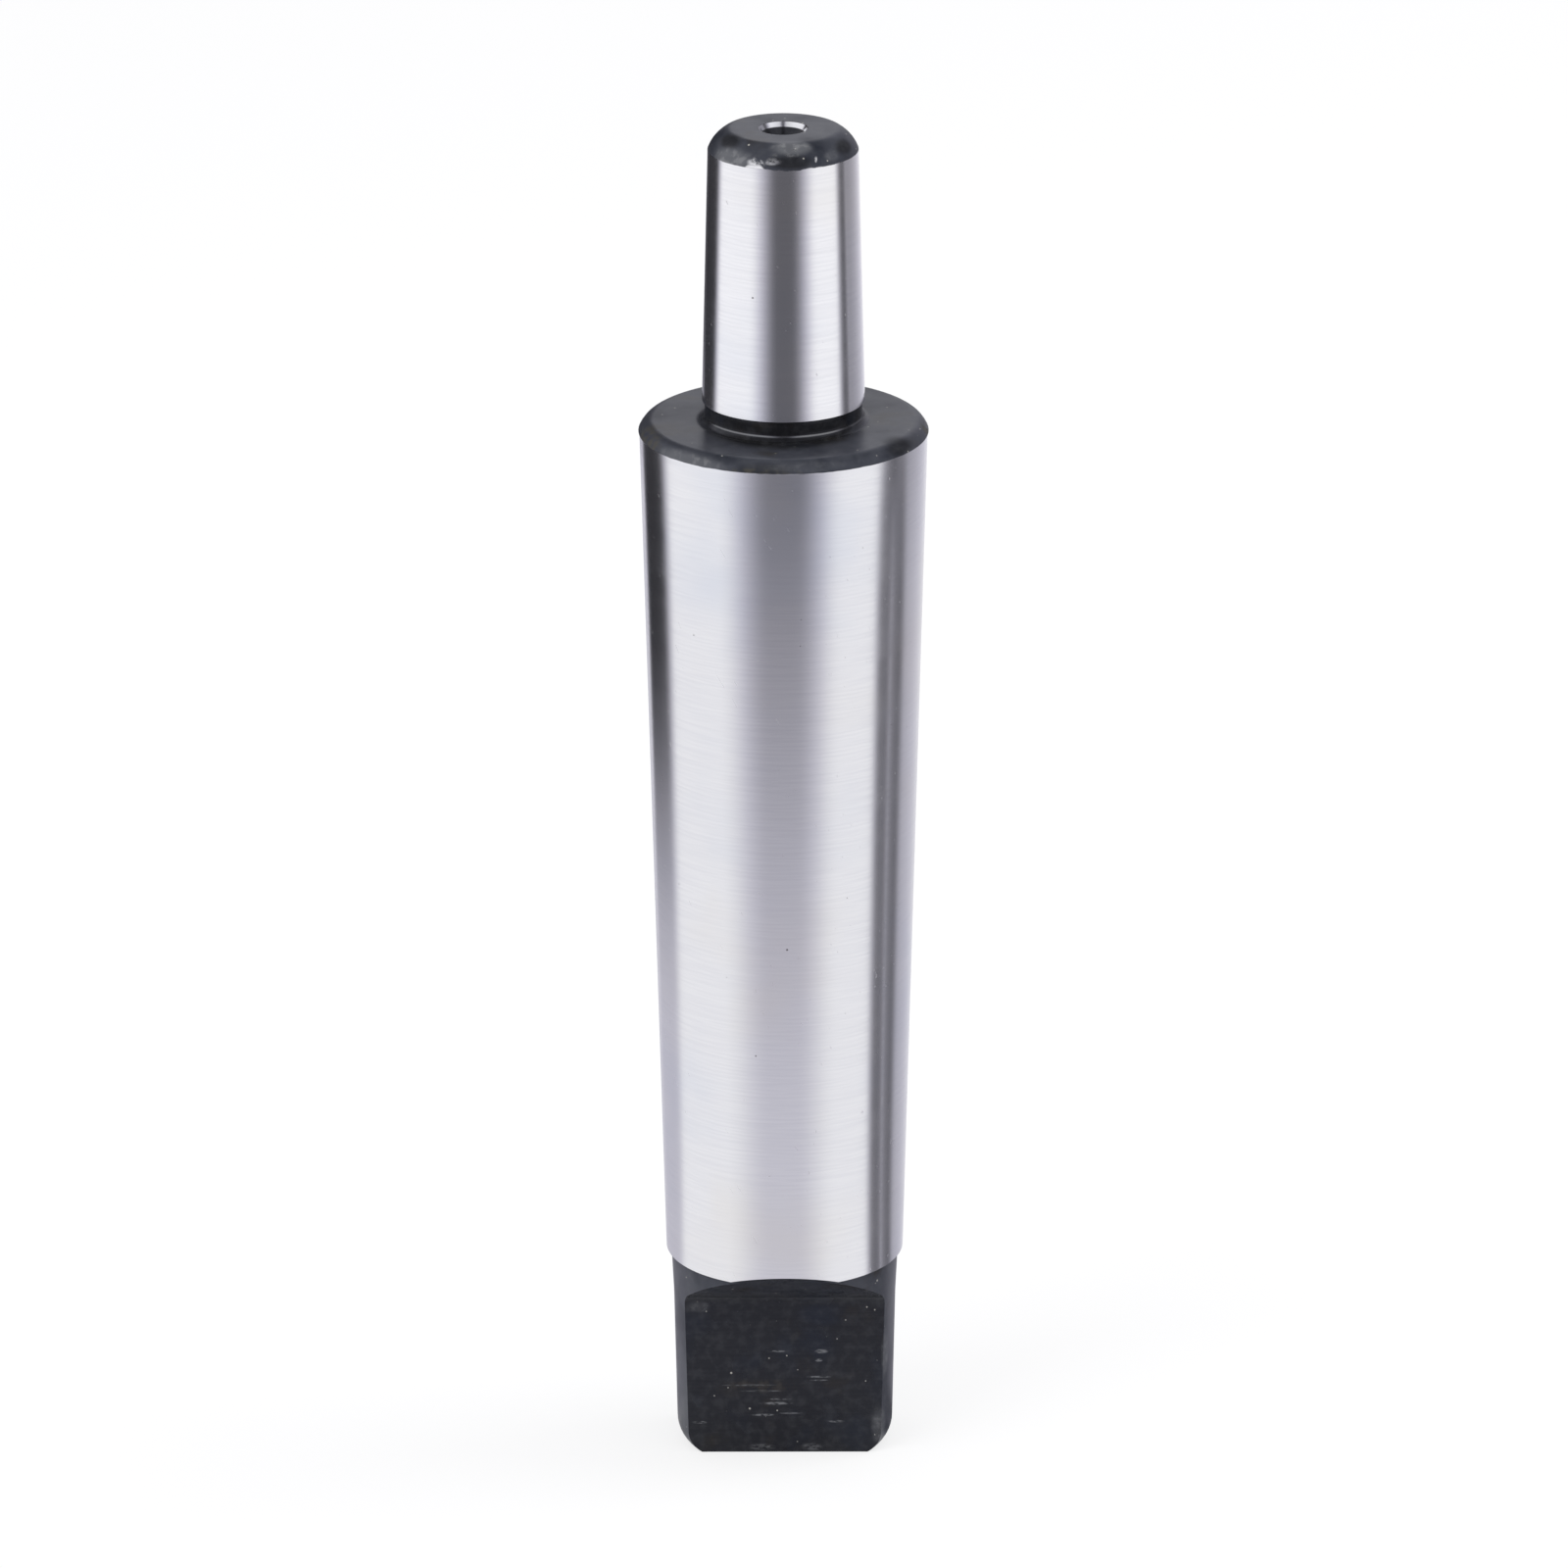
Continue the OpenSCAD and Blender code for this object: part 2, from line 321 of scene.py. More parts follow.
def arbor_rings(s):
    """Every ring of the arbor, from the tang's centre hole up and round to the top one.

    A ring is its radius, half its thickness across the flats, its height, the angle at which a flat starts,
    how far it follows the edge that the mill cut in the ground taper, and whether it is ground bright."""
    half_rate = s.shank_rate / 2
    step_r = s.shank_gauge_d / 2 - half_rate * (s.shank_gauge_z - s.tang_len)
    step_half = half_thickness(s, s.tang_len)
    cut_angle = math.asin(step_half / step_r)
    rim_z, face_z, round_z, top_z = heights(s)
    rim_side = s.shank_gauge_d / 2 + half_rate * s.shank_collar
    gauge_z = face_z + s.nose_gauge_gap
    neck_top = face_z + s.neck_len
    nose_start = s.nose_gauge_d / 2 - s.nose_rate / 2 * (neck_top - gauge_z)
    nose_side = s.nose_gauge_d / 2 - s.nose_rate / 2 * (round_z - gauge_z)
    neck_side = nose_start - s.neck_depth
    flare_z = s.tang_len - s.tang_flare
    # A half thickness that no flat reaches
    clear = s.shank_gauge_d
    rings = []

    def lay(points, half=None, ground=0.0, lift=0.0):
        """Adds a ring for each point, with its thickness from the mill's rule unless half is given."""
        for r, z in points:
            thick = half_thickness(s, z) if half is None else half
            edge = min(cut_angle, math.asin(min(1.0, thick / r))) if r > 0 else cut_angle
            rings.append((r, thick, z, edge, lift, ground))

    # The centre hole and the end face, whose rings grow from round to the shape of the tang's end
    hole_r = s.centre_d / 2
    low_hole = hole_outline(s, 0.0, -1)
    lay(low_hole[:-1], half=clear)
    lay([low_hole[-1], (hole_r, 0.0)], half=clear, ground=1.0)
    round_x = s.tang_end_d / 2 - s.tang_round_r
    end_r = round_x + math.sqrt(s.tang_round_r ** 2 - s.tang_round_h ** 2)
    for share in END_SHARES:
        r = hole_r + (end_r - hole_r) * share
        lay([(r, 0.0)], half=hole_r + (s.tang_t / 2 - hole_r) * share)
    # The tang's rounded corner, its side, the run-out with its corner, and the step
    lay(arc((round_x, s.tang_round_h), s.tang_round_r, -math.asin(s.tang_round_h / s.tang_round_r), 0.0)[1:])
    lay(straight((s.tang_end_d / 2, s.tang_round_h), (s.tang_top_d / 2, flare_z))[1:], half=s.tang_t / 2)
    bend = arc((0.0, cutter_corner(s)), s.runout_r, 0.0, math.pi / 2 - s.runout_angle)
    slope = straight(bend[-1], (0.0, s.tang_len), RUNOUT_GAP)
    flare_rate = (s.tang_root_d - s.tang_top_d) / 2 / s.tang_flare
    lay([(s.tang_top_d / 2 + flare_rate * (z - flare_z), z) for _, z in bend + slope[1:]])
    # The last ring's flat starts where the mill meets the tang's own radius, which is less than the step's
    rings[-1] = rings[-1][:3] + (math.asin(step_half / (s.tang_root_d / 2)),) + rings[-1][4:]
    # The ground shank, whose first rings follow the edge that the run-out cuts in it
    lay([(step_r, s.tang_len)], half=step_half, ground=1.0, lift=1.0)
    for share in CUT_SHARES:
        rise = CUT_STRIP * share
        half = step_half + rise / math.tan(s.runout_angle)
        lay([(step_r + rise * half_rate, s.tang_len + rise)], half=half, ground=1.0, lift=1.0 - share)
    strip_top = (step_r + CUT_STRIP * half_rate, s.tang_len + CUT_STRIP)
    lay(straight(strip_top, (rim_side, rim_z))[1:], half=clear, ground=1.0)
    # The rim, the shoulder, the fillet and the undercut
    rim_out = rim_side + s.rim_proud
    rim_arc = leaning_arc(rim_out, rim_z + s.rim_land, s.rim_r, s.rim_lean, face_z, s.rim_blend)
    lay([(rim_out, rim_z)] + rim_arc, half=clear)
    fillet_x = neck_side + s.neck_fillet
    lay(face_ring(rim_arc[-1][0], fillet_x, face_z, SHOULDER_GAP)[1:], half=clear)
    lay(arc((fillet_x, face_z + s.neck_fillet), s.neck_fillet, -math.pi / 2, -math.pi)[1:], half=clear)
    lay(straight((neck_side, face_z + s.neck_fillet), (neck_side, neck_top), END_GAP)[1:], half=clear)
    # The ground nose, its rounding, its end face and the centre hole
    lay(straight((nose_start, neck_top), (nose_side, round_z)), half=clear, ground=1.0)
    nose_arc = leaning_arc(nose_side, round_z, s.nose_round_r, s.nose_round_lean, top_z, s.nose_blend)
    lay(nose_arc[1:], half=clear)
    lay(face_ring(nose_arc[-1][0], hole_r, top_z, END_GAP)[1:-1], half=clear)
    high_hole = hole_outline(s, top_z, 1)[::-1]
    lay([(hole_r, top_z), high_hole[0]], half=clear, ground=1.0)
    lay(high_hole[1:], half=clear)
    return rings


def ring_mesh(s):
    """The rings as a loose line of points: x is a ring's radius, y half its thickness, and z its height."""
    rings = arbor_rings(s)
    mesh = bpy.data.meshes.new("arbor_rings")
    mesh.from_pydata([ring[:3] for ring in rings], [(i, i + 1) for i in range(len(rings) - 1)], [])
    rule = mesh.attributes.new("rule", "FLOAT_VECTOR", "POINT")
    rule.data.foreach_set("vector", [value for ring in rings for value in ring[3:]])
    return mesh


def turning_tree():
    """Geometry Nodes that turn the rings into a closed body and mill its two flats."""
    tree = bpy.data.node_groups.new("Turn and mill", "GeometryNodeTree")
    face = tree.interface
    face.new_socket("Rings", in_out="INPUT", socket_type="NodeSocketGeometry")
    for name, kind in (("Columns in a quarter", "NodeSocketInt"), ("Columns on an arc", "NodeSocketInt"),
                       ("Step radius", "NodeSocketFloat"), ("Step half thickness", "NodeSocketFloat"),
                       ("Run-out slope", "NodeSocketFloat"), ("Shank slope", "NodeSocketFloat"),
                       ("Ground finish", "NodeSocketMaterial"), ("Milled finish", "NodeSocketMaterial"),
                       ("Oxide finish", "NodeSocketMaterial")):
        face.new_socket(name, in_out="INPUT", socket_type=kind)
    face.new_socket("Body", in_out="OUTPUT", socket_type="NodeSocketGeometry")
    given = add(tree, "NodeGroupInput").outputs
    # A flat grid with a column for each step round the axis and a row for each ring
    count = add(tree, "GeometryNodeAttributeDomainSize", {0: given["Rings"]})
    columns = add(tree, MATH, (given["Columns in a quarter"], 4.0), operation="MULTIPLY")
    column_points = add(tree, MATH, (columns, 1.0), operation="ADD")
    last_row = add(tree, MATH, (count.outputs["Point Count"], 1.0), operation="SUBTRACT")
    grid = add(tree, "GeometryNodeMeshGrid", {
        "Size X": columns, "Size Y": last_row, "Vertices X": column_points,
        "Vertices Y": count.outputs["Point Count"]})
    position = add(tree, "GeometryNodeInputPosition")
    place = add(tree, SPLIT, (position,)).outputs
    half_columns = add(tree, MATH, (columns, 0.5), operation="MULTIPLY")
    half_rows = add(tree, MATH, (last_row, 0.5), operation="MULTIPLY")
    column = add(tree, MATH, (place["X"], half_columns), operation="ADD")
    row_place = add(tree, MATH, (place["Y"], half_rows), operation="ADD")
    row = add(tree, MATH, (row_place,), operation="ROUND")
    # The ring that each row stands for
    ring = add(tree, "GeometryNodeSampleIndex", {
        "Geometry": given["Rings"], "Value": position, "Index": row},
        data_type="FLOAT_VECTOR")
    rule_of = add(tree, "GeometryNodeInputNamedAttribute", {"Name": "rule"}, data_type="FLOAT_VECTOR")
    rule = add(tree, "GeometryNodeSampleIndex", {
        "Geometry": given["Rings"], "Value": rule_of, "Index": row}, data_type="FLOAT_VECTOR")
    radius, half, height = add(tree, SPLIT, (ring,)).outputs
    edge, lift, ground = add(tree, SPLIT, (rule,)).outputs
    # The angle from the nearest side, with one column always on the edge of the flat
    quarter = add(tree, MATH, (column, given["Columns in a quarter"]), operation="DIVIDE")
    share = add(tree, MATH, (quarter, 1.0), operation="PINGPONG")
    on_arc = add(tree, MATH, (given["Columns on an arc"], given["Columns in a quarter"]), operation="DIVIDE")
    arc_part = add(tree, RANGE, (share, 0.0, on_arc, 0.0, edge))
    flat_part = add(tree, RANGE, (share, on_arc, 1.0, 0.0, 1.0))
    left = add(tree, MATH, (math.pi / 2, edge), operation="SUBTRACT")
    over_flat = add(tree, MATH, (flat_part, left), operation="MULTIPLY")
    swing = add(tree, MATH, (arc_part, over_flat), operation="ADD")
    sine = add(tree, MATH, (swing,), operation="SINE")
    cosine = add(tree, MATH, (swing,), operation="COSINE")
    # How far the mill's edge rises on the ground taper at that angle
    proud_side = add(tree, MATH, (given["Step radius"], sine), operation="MULTIPLY")
    proud = add(tree, MATH, (proud_side, given["Step half thickness"]), operation="SUBTRACT")
    taper_side = add(tree, MATH, (given["Shank slope"], sine), operation="MULTIPLY")
    closing = add(tree, MATH, (given["Run-out slope"], taper_side), operation="SUBTRACT")
    rise_all = add(tree, MATH, (proud, closing), operation="DIVIDE")
    rise_up = add(tree, MATH, (rise_all, 0.0), operation="MAXIMUM")
    rise = add(tree, MATH, (rise_up, lift), operation="MULTIPLY")
    full_radius = add(tree, MATH, (rise, given["Shank slope"], radius), operation="MULTIPLY_ADD")
    full_half = add(tree, MATH, (rise, given["Run-out slope"], half), operation="MULTIPLY_ADD")
    full_height = add(tree, MATH, (rise, height), operation="ADD")
    # The place of each point, cut off at the flat
    across = add(tree, MATH, (full_radius, cosine), operation="MULTIPLY")
    turned = add(tree, MATH, (full_radius, sine), operation="MULTIPLY")
    milled = add(tree, MATH, (turned, full_half), operation="MINIMUM")
    turn = add(tree, MATH, (quarter, math.pi / 2), operation="MULTIPLY")
    turn_x = add(tree, MATH, (turn,), operation="COSINE")
    turn_y = add(tree, MATH, (turn,), operation="SINE")
    side_x = add(tree, MATH, (turn_x,), operation="SIGN")
    side_y = add(tree, MATH, (turn_y,), operation="SIGN")
    x = add(tree, MATH, (across, side_x), operation="MULTIPLY")
    y = add(tree, MATH, (milled, side_y), operation="MULTIPLY")
    placed = add(tree, JOIN, (x, y, full_height))
    # Close the seam and the poles, and give the ground rings and the milled faces their own finishes
    near_flat = add(tree, MATH, (full_half, FLAT_LIMIT), operation="SUBTRACT")
    is_cut = add(tree, MATH, (turned, near_flat), operation="GREATER_THAN")
    noted = add(tree, "GeometryNodeStoreNamedAttribute", {
        "Geometry": grid, "Name": "milled", "Value": is_cut}, data_type="FLOAT", domain="POINT")
    marked = add(tree, "GeometryNodeStoreNamedAttribute", {
        "Geometry": noted, "Name": "ground", "Value": ground}, data_type="FLOAT", domain="POINT")
    moved = add(tree, "GeometryNodeSetPosition", {"Geometry": marked, "Position": placed})
    closed = add(tree, "GeometryNodeMergeByDistance", {"Geometry": moved, "Distance": MERGE_LIMIT})
    smooth = add(tree, "GeometryNodeSetShadeSmooth", {0: closed})
    is_ground = add(tree, "GeometryNodeInputNamedAttribute", {"Name": "ground"}, data_type="FLOAT")
    chosen = add(tree, MATH, (is_ground, MOST_CORNERS), operation="GREATER_THAN")
    whole = add(tree, "GeometryNodeRealizeInstances", {0: smooth})
    oxide = add(tree, "GeometryNodeSetMaterial", {"Geometry": whole, "Material": given["Oxide finish"]})
    is_milled = add(tree, "GeometryNodeInputNamedAttribute", {"Name": "milled"}, data_type="FLOAT")
    cut = add(tree, MATH, (is_milled, MOST_CORNERS), operation="GREATER_THAN")
    flats = add(tree, "GeometryNodeSetMaterial", {
        "Geometry": oxide, "Selection": cut, "Material": given["Milled finish"]})
    bright = add(tree, "GeometryNodeSetMaterial", {
        "Geometry": flats, "Selection": chosen, "Material": given["Ground finish"]})
    add(tree, "NodeGroupOutput", {0: bright})
    return tree


def noise(tree, place, cells, detail=3.0):
    """Noise with so many cells for each metre, the same along x, y and z or one number for each."""
    scale = cells if isinstance(cells, tuple) else (cells,) * 3
    spread = add(tree, "ShaderNodeMapping", {0: place, "Scale": scale})
    return add(tree, "ShaderNodeTexNoise", {"Vector": spread, "Scale": 1.0, "Detail": detail})


def specks(tree, place, cells, size, share):
    """Small round specks, in the given share of the cells of space."""
    cell = add(tree, "ShaderNodeTexVoronoi", {"Vector": place, "Scale": cells})
    near = add(tree, RANGE, (cell.outputs["Distance"], size, size * 0.5), **SOFT)
    luck = add(tree, "ShaderNodeSeparateColor", (cell.outputs["Color"],))
    lucky = add(tree, MATH, (luck, share), operation="LESS_THAN")
    return add(tree, MATH, (near, lucky), operation="MULTIPLY")


def spots(tree, place, table):
    """Soft spots, each with its middle and its half sizes in millimetres and its strength."""
    total = None
    for middle, reach, strength in table:
        off = add(tree, VECTOR_MATH, (place, [v * MM for v in middle]), operation="SUBTRACT")
        scaled = add(tree, VECTOR_MATH, (off, [v * MM for v in reach]), operation="DIVIDE")
        far = add(tree, VECTOR_MATH, (scaled,), operation="LENGTH").outputs["Value"]
        share = add(tree, RANGE, (far, 1.0, SPOT_CORE, 0.0, strength), **SOFT)
        total = share if total is None else add(tree, MATH, (total, share), operation="MAXIMUM")
    return total


def ragged_spots(tree, place, table, pattern, low, high, least=0.0):
    """Soft spots that a pattern breaks up: the least share of them where it is low, all where it is high."""
    shown = add(tree, RANGE, (pattern, low, high, least), **SOFT)
    return add(tree, MATH, (spots(tree, place, table), shown), operation="MULTIPLY")


def layered(tree, colour_under, *layers):
    """A colour with other colours laid over it in turn, each with its share."""
    for share, colour_over in layers:
        mixed = add(tree, "ShaderNodeMix", {0: share, 6: colour_under, 7: colour_over}, data_type="RGBA")
        colour_under = mixed.outputs[2]
    return colour_under


def from_axis(tree, x, y):
    """The distance from the arbor's axis."""
    flat = add(tree, JOIN, (x, y))
    return add(tree, VECTOR_MATH, (flat,), operation="LENGTH").outputs["Value"]


def distance(tree, value, level):
    """How far a value lies from a level, to either side."""
    off = add(tree, MATH, (value, level), operation="SUBTRACT")
    return add(tree, MATH, (off,), operation="ABSOLUTE")


# Where handling has worn the black oxide pale: middle, half sizes, strength
WORN = (
    ((0.9, -6.4, 151.9), (2.8, 1.8, 0.9), 1.0),
    ((-5.6, -5.6, 150.4), (3.6, 3.6, 1.4), 1.0),
    ((5.4, -5.9, 150.9), (1.3, 1.5, 0.8), 0.3),
    ((11.3, -5.2, 11.6), (0.7, 1.6, 3.4), 0.40),
    ((10.6, -5.3, 3.2), (1.2, 1.4, 2.6), 0.45),
    ((-9.6, -5.4, 17.6), (1.6, 0.8, 0.9), 0.25),
    ((-10.0, -11.4, 118.6), (6.5, 5.0, 0.9), 0.8),
    ((3.0, -15.0, 118.9), (9.0, 1.6, 0.6), 0.20),
)
# Where the oxide is scraped through to the steel
BARE = (
    ((-3.0, -7.6, 150.6), (1.2, 1.6, 0.9), 0.8),
    ((-1.2, -7.8, 150.8), (1.3, 0.8, 0.5), 0.55),
    ((1.2, -7.0, 151.75), (0.6, 0.5, 0.2), 0.9),
    ((3.5, -7.0, 150.9), (0.2, 0.6, 0.5), 0.9),
    ((0.5, -7.4, 151.4), (2.6, 0.6, 0.3), 0.4),
)
# Where the black oxide is darker and rougher on the rounded end and the rim
MATT = (
    ((1.0, -7.8, 150.7), (3.5, 1.6, 1.0), 1.0),
    ((12.3, -8.5, 119.0), (2.4, 3.4, 1.1), 0.9),
    ((-2.2, -15.2, 118.6), (4.2, 1.4, 0.9), 0.7),
    ((-5.9, -3.6, 151.9), (2.2, 2.4, 0.9), 0.9),
    ((6.8, -3.8, 151.3), (1.8, 2.4, 1.1), 0.9),
)
# Short level marks that the cutter left on the front flat
MARKS = (
    ((-1.0, -5.4, 5.9), (2.2, 0.5, 0.22), 1.0),
    ((-0.6, -5.4, 6.4), (1.6, 0.5, 0.14), 0.8),
    ((-2.3, -5.4, 4.5), (1.8, 0.5, 0.16), 1.0),
    ((0.6, -5.4, 4.7), (1.6, 0.5, 0.13), 0.7),
    ((-0.8, -5.4, 12.2), (1.4, 0.5, 0.15), 0.8),
    ((4.1, -5.4, 12.2), (0.9, 0.5, 0.34), 1.0),
    ((3.8, -5.4, 11.1), (0.5, 0.5, 0.24), 1.0),
    ((3.8, -5.4, 9.1), (1.6, 0.5, 0.15), 0.9),
    ((3.9, -5.4, 8.7), (1.3, 0.5, 0.12), 0.7),
    ((-9.5, -5.4, 3.6), (1.0, 0.5, 0.22), 0.8),
    ((5.7, -5.4, 3.7), (1.2, 0.5, 0.2), 0.8),
    ((-4.0, -5.4, 8.1), (3.8, 0.5, 0.13), 0.5),
    ((-2.5, -5.4, 7.4), (3.0, 0.5, 0.13), 0.6),
    ((-2.6, -5.4, 0.6), (1.8, 0.5, 0.5), 0.5),
    ((3.0, -5.4, 0.6), (1.4, 0.5, 0.6), 0.5),
)
# Where oil and scale leave a brown residue on the shoulder's rim
RESIDUE = (
    ((-14.6, -5.4, 118.8), (2.2, 5.0, 1.6), 0.6),
    ((15.5, -1.0, 118.9), (1.0, 3.0, 1.2), 0.6),
    ((-3.0, -15.3, 118.4), (7.0, 1.4, 0.5), 0.5),
)
# Where the oxide looks blue, and where olive brown
BLUE = (((4.1, -5.4, 16.6), (3.6, 1.2, 1.8), 1.0), ((2.3, -5.4, 12.4), (4.2, 1.2, 4.2), 0.8))
BROWN = (((-2.6, -5.4, 8.0), (5.6, 1.2, 1.1), 1.0),)
# Where the ground nose runs up past its end, and where it stops short, by so much of a millimetre
RUNS_UP = (((-3.1, -7.6, 150.3), (1.2, 1.6, 1.3), 0.36),)
STOPS_SHORT = (((0.4, -8.3, 150.1), (2.8, 1.6, 1.4), 0.12),)


def past_taper(tree, place, s, switch):
    """How far a point lies above the end of its ground taper, which the wheel left a little ragged.

    Above the switch height the taper is the nose, and below it the shank."""
    rim_z, _, round_z, _ = heights(s)
    height = add(tree, SPLIT, (place,)).outputs["Z"]
    on_nose = add(tree, MATH, (height, switch), operation="GREATER_THAN")
    end = add(tree, RANGE, {0: on_nose, 3: rim_z, 4: round_z})
    rag = add(tree, MATH, (noise(tree, place, 700.0, 5.0), 0.5), operation="SUBTRACT")
    up = spots(tree, place, RUNS_UP)
    short = spots(tree, place, STOPS_SHORT)
    lower = add(tree, MATH, (short, up), operation="SUBTRACT")
    knock = add(tree, MATH, (lower, MM), operation="MULTIPLY")
    knocked = add(tree, MATH, (up, short), operation="MAXIMUM")
    reach = add(tree, MATH, (knocked, RAG_AT_KNOCKS, RAG), operation="MULTIPLY_ADD")
    above = add(tree, MATH, (height, end), operation="SUBTRACT")
    moved = add(tree, MATH, (above, knock), operation="ADD")
    past = add(tree, MATH, (rag, reach, moved), operation="MULTIPLY_ADD")
    # Where the steel runs up it fades out over a wider strip
    fade = add(tree, MATH, (up, KNOCK_FADE, 1.0), operation="MULTIPLY_ADD")
    return add(tree, MATH, (past, fade), operation="DIVIDE")


def steel_surface(tree, place, finish):
    """Hardened alloy steel, ground between centres: bright, with fine lines round the axis."""
    # Grinding lines about 0.25 mm apart, long round the axis. Real ones are finer than the render shows.
    fine = noise(tree, place, (150.0, 150.0, 4200.0))
    wide = noise(tree, place, (25.0, 25.0, 300.0), 2.0)
    cloud = noise(tree, place, 45.0)
    grain = noise(tree, place, 2600.0, 1.0)
    # Round pits of 0.1 to 0.3 mm, in about one cell in eight of a coarse and a fine lattice
    pitted = add(tree, MATH, (
        specks(tree, place, 300.0, 0.045, 0.12), specks(tree, place, 600.0, 0.05, 0.14)), operation="MAXIMUM")
    stained = layered(
        tree, finish.steel,
        (add(tree, RANGE, (fine, 0.3, 0.7, 0.0, 0.3), **SOFT), finish.steel_line),
        (add(tree, RANGE, (cloud, 0.5, 0.75, 0.0, 0.7), **SOFT), finish.steel_cool),
        (add(tree, RANGE, (cloud, 0.48, 0.28, 0.0, 0.7), **SOFT), finish.steel_warm),
        (add(tree, MATH, (pitted, 0.8), operation="MULTIPLY"), finish.pit))
    # Thin scratches from handling, aslant to the axis
    slanted = add(tree, "ShaderNodeMapping", {0: place, "Rotation": (0.35, 0.5, 0.0)})
    scratch = add(tree, RANGE, (noise(tree, slanted, (2600.0, 2600.0, 60.0), 1.0), 0.74, 0.80), **SOFT)
    line_rough = add(tree, RANGE, (fine, 0.3, 0.7, 0.16, 0.19))
    wide_rough = add(tree, RANGE, (wide, 0.3, 0.7, -0.01, 0.02))
    ground_rough = add(tree, MATH, (line_rough, wide_rough), operation="ADD")
    marked = add(tree, MATH, (scratch, pitted), operation="MAXIMUM")
    mark_rough = add(tree, MATH, (marked, 0.2), operation="MULTIPLY")
    rough = add(tree, MATH, (ground_rough, mark_rough), operation="ADD")
    fine_relief = add(tree, MATH, (fine, 0.7), operation="MULTIPLY")
    lines = add(tree, MATH, (grain, 0.5, fine_relief), operation="MULTIPLY_ADD")
    sunk = add(tree, MATH, (pitted, 2.0), operation="MULTIPLY")
    relief = add(tree, MATH, (lines, sunk), operation="SUBTRACT")
    bump = add(tree, "ShaderNodeBump", {"Height": relief, "Strength": 0.2, "Distance": 4e-6})
    return add(tree, "ShaderNodeBsdfPrincipled", {
        "Base Color": stained, "Metallic": 1.0, "Roughness": rough, "Normal": bump})


def oxide_surface(tree, place, finish, main, base_rough, smooth):
    """Black oxide on turned and milled steel: a thin dark layer with tool marks, oily tints and dust."""
    x, y, z = add(tree, SPLIT, (place,)).outputs
    # Tool marks about 0.3 mm apart run level on the tang, and round the axis on the shoulder and the end
    upper = add(tree, MATH, (z, UPPER_END), operation="GREATER_THAN")
    turned = add(tree, MATH, (from_axis(tree, x, y), upper), operation="MULTIPLY")
    along = add(tree, MATH, (x, 0.04), operation="MULTIPLY")
    marks = noise(tree, add(tree, JOIN, (along, turned, z)), 3200.0, 2.0)
    streak = ragged_spots(tree, place, MARKS, noise(tree, place, (1500.0, 1500.0, 4000.0)), 0.35, 0.6)
    cloud = noise(tree, place, 170.0, 4.0)
    mottle = noise(tree, place, 900.0, 4.0)
    blue = add(tree, MATH, (
        add(tree, RANGE, (cloud, 0.52, 0.72, 0.0, 0.7), **SOFT),
        ragged_spots(tree, place, BLUE, cloud, 0.35, 0.55)), operation="MAXIMUM")
    brown = add(tree, MATH, (
        add(tree, RANGE, (cloud, 0.44, 0.28, 0.0, 0.7), **SOFT),
        ragged_spots(tree, place, BROWN, mottle, 0.35, 0.6)), operation="MAXIMUM")
    # Handling, tool marks and a faint mottle all show as pale metal under the oxide
    worn = ragged_spots(tree, place, WORN, noise(tree, place, 1100.0, 5.0), 0.46, 0.62, least=0.5)
    faint_streak = add(tree, MATH, (streak, 0.8), operation="MULTIPLY")
    pale = add(tree, MATH, (worn, faint_streak), operation="MAXIMUM")
    patchy = add(tree, MATH, (
        marks, 0.06, add(tree, RANGE, (mottle, 0.42, 0.72, 0.0, 0.07), **SOFT)), operation="MULTIPLY_ADD")
    lit = add(tree, MATH, (patchy, pale), operation="ADD")
    rusty = ragged_spots(tree, place, RESIDUE, mottle, 0.38, 0.6)
    dust = add(tree, MATH, (
        specks(tree, place, 500.0, 0.08, 0.2), specks(tree, place, 900.0, 0.10, 0.3)), operation="MAXIMUM")
    dust_share = add(tree, MATH, (dust, 0.7), operation="MULTIPLY")
    dusted = layered(
        tree, main, (blue, finish.oxide_blue), (brown, finish.oxide_brown), (lit, finish.oxide_worn),
        (rusty, finish.residue), (dust_share, finish.dust))
    cloud_rough = add(tree, RANGE, (cloud, 0.3, 0.7, -0.04, 0.04))
    oxide_rough = add(tree, MATH, (base_rough, cloud_rough), operation="ADD")
    rough = add(tree, MATH, (rusty, 0.3, oxide_rough), operation="MULTIPLY_ADD")
    raised = add(tree, MATH, (marks, rusty), operation="ADD")
    uneven = add(tree, MATH, (1.0, smooth), operation="SUBTRACT")
    relief = add(tree, MATH, (raised, uneven), operation="MULTIPLY")
    bump = add(tree, "ShaderNodeBump", {"Height": relief, "Strength": 0.1, "Distance": 8e-6})
    return add(tree, "ShaderNodeBsdfPrincipled", {
        "Base Color": dusted, "Metallic": 0.0, "IOR": 1.38, "Roughness": rough, "Normal": bump,
        "Specular Tint": finish.oxide_sheen})


def in_centre_hole(tree, place, s):
    """Whether a point is in one of the centre holes."""
    x, y, _ = add(tree, SPLIT, (place,)).outputs
    return add(tree, MATH, (from_axis(tree, x, y), s.centre_d / 2 + s.edge_break), operation="LESS_THAN")


